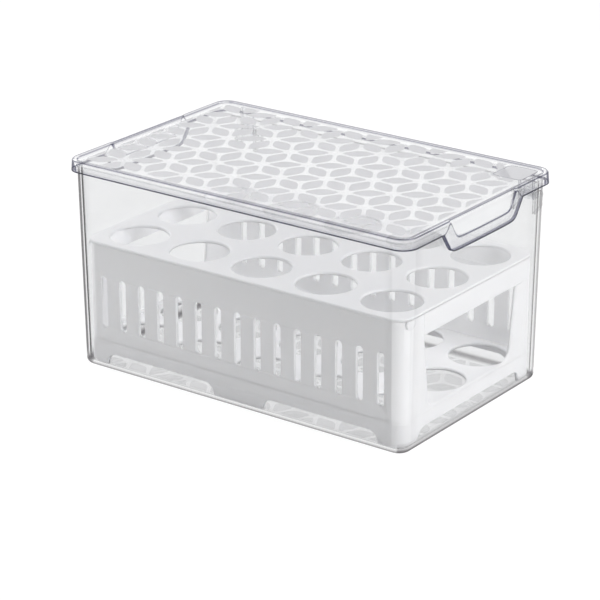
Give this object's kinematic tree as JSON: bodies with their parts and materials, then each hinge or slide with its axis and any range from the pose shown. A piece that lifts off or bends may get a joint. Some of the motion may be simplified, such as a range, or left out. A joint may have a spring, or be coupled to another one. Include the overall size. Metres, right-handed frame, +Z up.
{
  "type": "egg keeper with flip lid",
  "caption": "Clear rectangular food keeper with a back-hinged flip lid, grip tabs and a white lift-out egg rack that carries a stacked upper deck.",
  "frame": {"origin": "centre of the underside of the bin", "axes": "+X along the bin, +Y towards the hinged back, +Z up"},
  "size_m": [0.2566, 0.1676, 0.137],
  "materials": {
    "clear_plastic": "clear polished moulding, frosted cells on the lid plate and floor",
    "white_plastic": "satin white moulding"
  },
  "bodies": {
    "bin": {"bin": "clear_plastic"},
    "lid": {"lid": "clear_plastic"},
    "rack_frame": {"rack_frame": "white_plastic", "lower_deck": "white_plastic"},
    "upper_deck": {"upper_deck": "white_plastic", "deck_bosses": "white_plastic", "upper_flange": "white_plastic"}
  },
  "joints": [
    {"name": "lid_hinge", "type": "hinge", "parent": "bin", "child": "lid", "pos_m": [0, 0.08294, 0.117], "axis": [-1, 0, 0], "range_deg": [0, 110]},
    {"name": "rack_lift", "type": "slide", "parent": "bin", "child": "rack_frame", "axis": [0, 0, 1], "range_m": [0, 0.015]},
    {"name": "deck_lift", "type": "slide", "parent": "rack_frame", "child": "upper_deck", "axis": [0, 0, 1], "range_m": [0, 0.03]}
  ]
}
